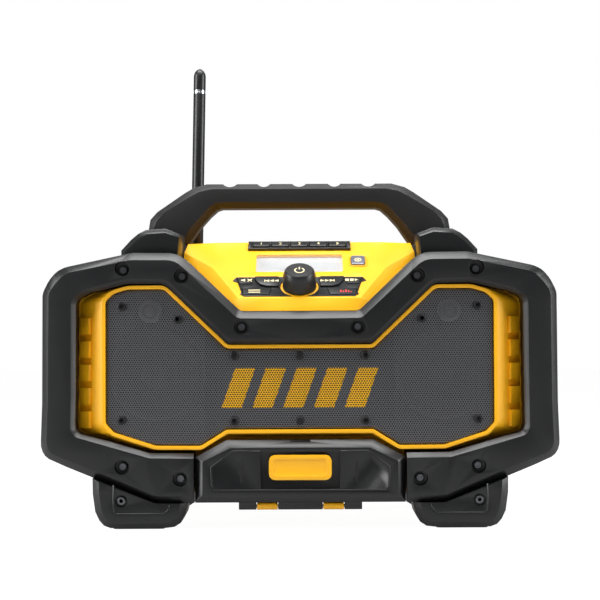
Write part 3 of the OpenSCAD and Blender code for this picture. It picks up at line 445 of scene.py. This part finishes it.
fitted("front_guard", "frame_front", fit_guard, corner_cuts())
fitted("handle", "carrying_handle", fit_handle)
fitted("shoulder_left", "handle_foot_left", fit_pod)
fitted("shoulder_right", "handle_foot_right", fit_pod)
fitted("console_panel", "console_top", fit_console, cheek_cuts())

# ---------------------------------------------------------------- grille
LIP_Y = 6 - FRONT_Y         # the yellow lip, behind the frame's front face
GRILLE_Y = LIP_Y + 2
PITCH = 2.1                 # between the fine holes
HOLE_R = 0.87
SHEET_T = 0.6
CURL = 3.2                  # width of the rim that curls back into the housing
DIMPLE_R = 5.4
DIMPLE = 0.8
# The grille's outline on the right of the radio, in convex order
WING_EDGE = ((62, 84), (84, 70.3), (122, 70.3), (133, 71.5), (158, 81.5), (163.6, 84.6), (165.3, 89),
             (165.3, 193), (163.6, 197.4), (157, 200.4), (146, 203), (115, 203), (109.8, 200), (62, 152.5))
MIDDLE_EDGE = ((-62, 84), (62, 84), (62, 152.5), (-62, 152.5))
PRINT_HALF = 16.5           # half height of the printed stripes
PRINT_Z = 119
STRIPES = 5
STRIPE = 26                 # pitch of the stripes
STRIPE_W = 17
STRIPE_LEAN = 0.35


def edge_distance(x, z, edges):
    """The distance from a point to the nearest of a region's edges that belong to the sheet's rim."""
    nearest = CURL
    for (ax, az), (bx, bz) in edges:
        length = math.hypot(bx - ax, bz - az)
        nearest = min(nearest, ((bx - ax) * (z - az) - (bz - az) * (x - ax)) / length)
    return max(0, nearest)


def sheet_depth(x, z, rim):
    """How far the sheet lies behind its flat middle: swept, curled at the rim, dimpled at screws."""
    inward = CURL - edge_distance(abs(x), z, rim)
    depth = sweep(x) + CURL - math.sqrt(max(0, CURL ** 2 - inward ** 2))
    for sx, sz in GRILLE_SCREWS:
        near = math.hypot(abs(x) - sx, z - sz) / DIMPLE_R
        if near < 1:
            depth += DIMPLE * (1 - near ** 2) ** 2
    return depth


def perforated_sheet():
    """A flat field of hexagonal cells, each with its hole, two staggered rows repeated both ways."""
    cell = bmesh.new()
    row = PITCH * math.sin(math.radians(60))
    for shift in ((0, 0), (PITCH / 2, row)):
        middle = Matrix.Translation(Vector((shift[0], shift[1], 0)) * MM)
        corner = PITCH / math.sqrt(3) * MM
        outer = bmesh.ops.create_circle(cell, segments=6, radius=corner, matrix=middle)["verts"]
        inner = bmesh.ops.create_circle(cell, segments=6, radius=HOLE_R * MM, matrix=middle)["verts"]
        rims = {edge for vert in outer + inner for edge in vert.link_edges}
        bmesh.ops.bridge_loops(cell, edges=list(rims))
    data = bpy.data.meshes.new("cell")
    cell.to_mesh(data)
    cell.free()
    field = bpy.data.objects.new("field", data)
    for axis, count, step in ((0, 62, PITCH), (1, 38, 2 * row)):
        repeat = field.modifiers.new("repeat", "ARRAY")
        repeat.count = count
        repeat.use_relative_offset = False
        repeat.use_constant_offset = True
        repeat.constant_offset_displace = (step * MM if axis == 0 else 0, step * MM if axis == 1 else 0, 0)
        repeat.use_merge_vertices = True
        repeat.merge_threshold = 0.01 * MM
    return solid_of(field)


FIELD_Z = 70                # lowest row of holes
field_mesh = perforated_sheet()
field_data = bpy.data.meshes.new("field")
field_mesh.to_mesh(field_data)
field_mesh.free()
wing_rim = list(zip(WING_EDGE[:-1], WING_EDGE[1:]))
middle_rim = [((-62, 84), (62, 84)), ((62, 152.5), (-62, 152.5))]
# Each part of the grille with its edge, the hole column where it starts, and its side
FIELDS = (("grille_left", WING_EDGE, -80, -1), ("grille_middle", MIDDLE_EDGE, -30, 1),
          ("grille_right", WING_EDGE, 29, 1))
for name, edge, start, side in FIELDS:
    sheet = bmesh.new()
    sheet.from_mesh(field_data)
    bmesh.ops.translate(sheet, verts=sheet.verts, vec=Vector((start * PITCH, FIELD_Z, 0)) * MM)
    outline = [(side * x, z) for x, z in edge]
    for (ax, az), (bx, bz) in zip(outline, outline[1:] + outline[:1]):
        outward = Vector((bz - az, ax - bx, 0)) * side
        everything = list(sheet.verts) + list(sheet.edges) + list(sheet.faces)
        bmesh.ops.bisect_plane(sheet, geom=everything, plane_co=Vector((ax, az, 0)) * MM, plane_no=outward,
                               clear_outer=True)
    for face in sheet.faces:
        if face.normal.z < 0:
            face.normal_flip()
    for face in sheet.faces:
        place = face.calc_center_median() / MM
        along = place.x - STRIPE_LEAN * (place.y - PRINT_Z) + ((STRIPES - 1) * STRIPE + STRIPE_W) / 2
        striped = 0 < along < STRIPES * STRIPE and along % STRIPE < STRIPE_W
        printed = striped and abs(place.y - PRINT_Z) < PRINT_HALF
        face.material_index = 1 if printed else 0
    rim = middle_rim if name == "grille_middle" else wing_rim
    for vert in sheet.verts:
        x = vert.co.x / MM
        z = vert.co.y / MM
        vert.co = Vector((x, GRILLE_Y + sheet_depth(x, z, rim), z)) * MM
    data = bpy.data.meshes.new(name)
    sheet.to_mesh(data)
    sheet.free()
    grille = placed(name, data)
    data.materials.append(GRILLE_STEEL)
    data.materials.append(GRILLE_PRINT)
    thick = grille.modifiers.new("sheet", "SOLIDIFY")
    thick.thickness = SHEET_T * MM
    thick.offset = -1
    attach(grille, "housing")
    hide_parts("speaker_grille")
bpy.data.meshes.remove(field_data)

# ---------------------------------------------------------------- screws
HEAD_R = 3.5
HEAD_LIFT = 2.6             # a head's face, ahead of its seat
GRILLE_HEAD_R = 3.5
GRILLE_HEAD_LIFT = 1.9
TO_REAR = Matrix.Rotation(math.pi, 4, "Z")
HEAD_LOBES = 6
COUNTERBORE = 9             # depth of the frame screws' counterbores
FOOT_SEAT_Y = -100          # where the feet's screw heads seat


def screw_face(mesh, place, radius):
    """A domed head with a six-lobed recess, standing on its place."""
    bmesh.ops.create_circle(mesh, cap_ends=True, segments=24, radius=radius * MM, matrix=place)
    mesh.faces.ensure_lookup_table()
    face = mesh.faces[-1]
    out = place.to_3x3() @ Vector((0, 0, MM))
    raised = bmesh.ops.extrude_face_region(mesh, geom=[face])["geom"]
    push(mesh, raised, out * 0.2)
    top = [part for part in raised if isinstance(part, bmesh.types.BMFace)]
    bmesh.ops.inset_region(mesh, faces=top, thickness=0.22 * radius * MM, depth=0.12 * radius * MM)
    bmesh.ops.inset_region(mesh, faces=top, thickness=0.3 * radius * MM)
    back = place.inverted()
    for vert in top[0].verts:
        spot = back @ vert.co
        swell = 1 + 0.2 * math.cos(HEAD_LOBES * math.atan2(spot.y, spot.x))
        vert.co = place @ Vector((spot.x * swell, spot.y * swell, spot.z))
    sunk = bmesh.ops.extrude_face_region(mesh, geom=top)["geom"]
    push(mesh, sunk, out * -0.35 * radius)
    bmesh.ops.delete(mesh, geom=top, context="FACES")


heads = bmesh.new()
for side in (-1, 1):
    foot_place = front_matrix(side * FOOT_SCREW[0], FOOT_SEAT_Y - HEAD_LIFT, FOOT_SCREW[1])
    for screws, turn in ((FRAME_SCREWS, Matrix()), (REAR_SCREWS, TO_REAR)):
        for x, z in screws:
            seat_y = sweep(x) - FRONT_Y + COUNTERBORE
            screw_face(heads, turn @ front_matrix(side * x, seat_y - HEAD_LIFT, z), HEAD_R)
        screw_face(heads, turn @ foot_place, HEAD_R)
finish_piece("screw_heads", heads, [SCREW_STEEL], "housing")
dark_heads = bmesh.new()
for x, z in sorted({(side * x, z) for x, z in GRILLE_SCREWS for side in (-1, 1)}):
    screw_face(dark_heads, front_matrix(x, GRILLE_Y + sweep(x) - GRILLE_HEAD_LIFT, z), GRILLE_HEAD_R)
finish_piece("grille_screw_heads", dark_heads, [FRAME_STEEL], "housing")

# ---------------------------------------------------------------- console marks
KNOB_TOP = 17.1
KEY_TOP = 1.2
ARROW_KEY_TOP = 2.2
PAIR_TOP = 1.6
PRESET_TOP = 3.6
INK = 0.08                  # thickness of the printed marks


def mark(name, outlines, x, s, out, material, body):
    """Printed marks on the console, given as outlines about their middle."""
    mesh = bmesh.new()
    for outline in outlines:
        prism(mesh, outline, 0, INK, console_matrix(x, s, out))
    return finish_piece(name, mesh, [material], body)


ARROW_KEY = (24, 25)        # places of the keys' marks, across and up the slope
UPPER_KEY = (44.5, 27.6)
LOWER_KEY = (39, 9.4)
arrows = [[(-6 + 4 * i, -1.8), (-2.4 + 4 * i, 0), (-6 + 4 * i, 1.8)] for i in range(3)]
arrows.append(box(5.4, 6.1, -1.8, 1.8))
arrows_back = [[(-x, y) for x, y in shape] for shape in arrows]
speaker = [[(-5, -0.9), (-3.6, -0.9), (-1.6, -2.4), (-1.6, 2.4), (-3.6, 0.9), (-5, 0.9)],
           [(0, -2.1), (0.9, -2.4), (4.9, 1.9), (4, 2.4)], [(4.0, -2.4), (4.9, -2.0), (0.9, 2.4), (0, 1.9)]]
squares = [box(-5, -2, -1.8, 1.8), box(-0.9, 2.1, -1.8, 1.8), [(3.2, -1.8), (6, 0), (3.2, 1.8)]]
TONE_TOPS = (1.4, 0.2, 2.0, 0.8, -0.6)      # heights of the tone key's five bars
bars = [box(-4.4 + 2.2 * i, -3.2 + 2.2 * i, -2.2, TONE_TOPS[i]) for i in range(5)]
power = [band(4.4, 1.0, 122, 418, 32), box(-0.5, 0.5, 1.4, 5.4)]
pair = [band(3.1, 0.9, 0, 180, 16), band(3.1, 0.9, 180, 360, 16), arc(1.1, 0, 330, 11)]
mark("power_symbol", power, 0, KNOB_S - 0.6, KNOB_TOP, MARK, "knob")
mark("next_arrows", arrows, *ARROW_KEY, ARROW_KEY_TOP, MARK, "key_next_cap")
mark("previous_arrows", arrows_back, -ARROW_KEY[0], ARROW_KEY[1], ARROW_KEY_TOP, MARK, "key_previous_cap")
mark("mute_symbol", speaker, -45.2, UPPER_KEY[1], KEY_TOP, MARK, "key_mute_cap")
mark("menu_symbol", [box(-5, 5, y - 0.6, y + 0.6) for y in (-1.7, 1.7)], -38.5, LOWER_KEY[1], KEY_TOP, MARK,
     "key_menu_cap")
mark("mode_symbol", squares, *UPPER_KEY, KEY_TOP, MARK, "key_mode_cap")
mark("tone_symbol", bars, *LOWER_KEY, KEY_TOP, MARK_RED, "key_tone_cap")
mark("pair_symbol", pair, *PAIR_PLACE, PAIR_TOP, MARK, "pair_button_cap")
for i in range(5):
    letters = bpy.data.curves.new("numeral", "FONT")
    letters.body = str(i + 1)
    letters.size = 5.4 * MM
    letters.align_x = "CENTER"
    letters.align_y = "CENTER"
    letters.extrude = INK / 2 * MM
    numeral = solid_of(bpy.data.objects.new("numeral", letters))
    bmesh.ops.transform(numeral, verts=numeral.verts,
                        matrix=console_matrix((i - 2) * PRESET_PITCH, PRESET_S, PRESET_TOP + INK / 2))
    finish_piece("preset_numeral_%d" % (i + 1), numeral, [MARK], "preset_%d_cap" % (i + 1))

# ---------------------------------------------------------------- door
DOOR_Y = -110               # the door's front face
PANEL_Y = DOOR_Y + 0.8      # floor of the panel let into it
PANEL_EDGE = ((-33.8, 66.4), (-56.5, 66.4), (-74.7, 53.2), (-74.7, 37.5), (-72, 33.6), (72, 33.6),
              (74.7, 37.5), (74.7, 53.2), (56.5, 66.4), (33.8, 66.4))
BEAD_R = 0.8
LATCH_FACE_Y = -104         # the latch is black behind this
LATCH_TOP_Z = 63.1          # and above this
FOOT_FACE_Y = -104
ICON_Z = 49
ICON_T = 0.06
# Edge of the panel on the front feet
FOOT_EDGE = ((157.5, 38), (157.5, 16), (155.5, 13.6), (115.5, 13.6), (111.5, 16.5), (110, 21))


def tube(name, points, radius, material, body, closed=False):
    """A round bead along a path of points in mm."""
    path = bpy.data.curves.new(name, "CURVE")
    path.dimensions = "3D"
    line = path.splines.new("POLY")
    line.points.add(len(points) - 1)
    for point, place in zip(line.points, points):
        point.co = (*(Vector(place) * MM), 1)
    line.use_cyclic_u = closed
    path.bevel_depth = radius * MM
    path.bevel_resolution = 3
    path.use_fill_caps = True
    return finish_piece(name, solid_of(bpy.data.objects.new(name, path)), [material], body, smooth=True)


around = [console_matrix(PAIR_PLACE[0] + x, PAIR_PLACE[1] + y, 0.1).translation / MM
          for x, y in rounded(15.6, 18.1, 4.2)]
tube("pairing_surround", around, 0.75, YELLOW, "housing", closed=True)
latch = NODES["door_latch"].data
latch.materials.append(NYLON)
for face in latch.polygons:
    if face.center.y > LATCH_FACE_Y * MM or face.center.z > LATCH_TOP_Z * MM:
        face.material_index = 1
coil = bmesh.new()
coil.from_mesh(NODES["latch_spring"].data)
bmesh.ops.transform(coil, matrix=NODES["latch_spring"].matrix_world, verts=coil.verts)
spring = finish_piece("return_spring", coil, [STEEL], "door", smooth=True)
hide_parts("latch_spring")
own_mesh(spring)
tube("door_bead", [(x, DOOR_Y + 0.1, z) for x, z in PANEL_EDGE], BEAD_R, NYLON, "door")
for side, name in ((-1, "foot_bead_left"), (1, "foot_bead_right")):
    tube(name, [(side * x, FOOT_FACE_Y, z) for x, z in FOOT_EDGE], BEAD_R, RUBBER, "housing")
mains_plug = [(-1.1, -9), (1.1, -9), (1.1, -3.6), (3, -1.8), (3, 4.4), (-3, 4.4), (-3, -1.8), (-1.1, -3.6)]
pins = [box(-2.2, -1.0, 4.4, 8.6), box(1.0, 2.2, 4.4, 8.6)]
jack_plug = [(-0.6, -9), (0.6, -9), (0.6, -4.4), (1.7, -4.0), (1.7, 2.6), (0.9, 3), (0.9, 7.6), (0, 8.8),
             (-0.9, 7.6), (-0.9, 3), (-1.7, 2.6), (-1.7, -4.0), (-0.6, -4.4)]
icons = bmesh.new()
for outlines, x in ((([mains_plug] + pins), -49.6), ([jack_plug], 47.4)):
    for outline in outlines:
        prism(icons, outline, 0, ICON_T, front_matrix(x, PANEL_Y, ICON_Z))
# The icons are thin raised shapes; their darker colour is painted shade standing in for a recess
finish_piece("door_icons", icons, [PRESSED_GLOSS_AND_SHADE], "door")

# ---------------------------------------------------------------- light and floor
world = bpy.data.worlds.new("studio")
bpy.context.scene.world = world
world.use_nodes = True
world_tree = world.node_tree
background = world_tree.nodes["Background"]
background.inputs["Color"].default_value = (1, 1, 1, 1)
paths = add(world_tree, "ShaderNodeLightPath")
seen = add(world_tree, "ShaderNodeMath", {"operation": "MAXIMUM"}, _0=paths.outputs["Is Camera Ray"],
           _1=paths.outputs["Is Transmission Ray"])
level = add(world_tree, "ShaderNodeMapRange", {"To Min": 0.14, "To Max": 1.0}, Value=seen.outputs["Value"])
world_tree.links.new(level.outputs["Result"], background.inputs["Strength"])


def soft_box(name, place, target, size, power):
    """A rectangular studio lamp at place, turned to target."""
    data = bpy.data.lights.new(name, "AREA")
    data.shape = "RECTANGLE"
    data.size, data.size_y = size
    data.energy = power
    lamp = placed(name, data)
    lamp.location = place
    lamp.rotation_euler = (Vector(target) - Vector(place)).to_track_quat("-Z", "Y").to_euler()


soft_box("top_box", (0, -0.3, 1.5), (0, -0.1, 0.2), (1.5, 0.8), 36)
soft_box("front_box", (-0.6, -1.9, 1.3), (0, 0, 0.15), (1.0, 0.8), 2.5)
soft_box("left_strip", (-1.3, -0.4, 0.5), (0, 0, 0.18), (0.7, 1.2), 19)
soft_box("right_strip", (1.3, -0.35, 0.5), (0, 0, 0.18), (0.7, 1.2), 17)
soft_box("back_box", (0, 1.2, 1.2), (0, 0, 0.2), (1.6, 0.8), 14)

floor_mesh = bmesh.new()
bmesh.ops.create_grid(floor_mesh, x_segments=1, y_segments=1, size=6)
floor_data = bpy.data.meshes.new("floor")
floor_mesh.to_mesh(floor_data)
floor_mesh.free()
floor = placed("floor", floor_data)
FLOOR, floor_tree, floor_shader = surface("painted_studio_floor", Roughness=0.9)
floor_shader.inputs["Base Color"].default_value = linear("#A8A8A8")
floor_paths = add(floor_tree, "ShaderNodeLightPath")
glow = add(floor_tree, "ShaderNodeEmission", {"Color": (1, 1, 1, 1), "Strength": 1.22})
shine = add(floor_tree, "ShaderNodeMath", {"operation": "MULTIPLY", 1: 0.25},
            _0=floor_paths.outputs["Is Glossy Ray"])
share = add(floor_tree, "ShaderNodeMath", {"operation": "MULTIPLY_ADD", 1: 0.8},
            _0=floor_paths.outputs["Is Camera Ray"], _2=shine.outputs["Value"])
mixed = add(floor_tree, "ShaderNodeMixShader", {}, Fac=share.outputs["Value"],
            _1=floor_shader.outputs["BSDF"], _2=glow.outputs["Emission"])
floor_tree.links.new(mixed.outputs["Shader"], floor_tree.nodes["Material Output"].inputs["Surface"])
floor_data.materials.append(FLOOR)

bpy.context.scene.view_settings.view_transform = "Standard"
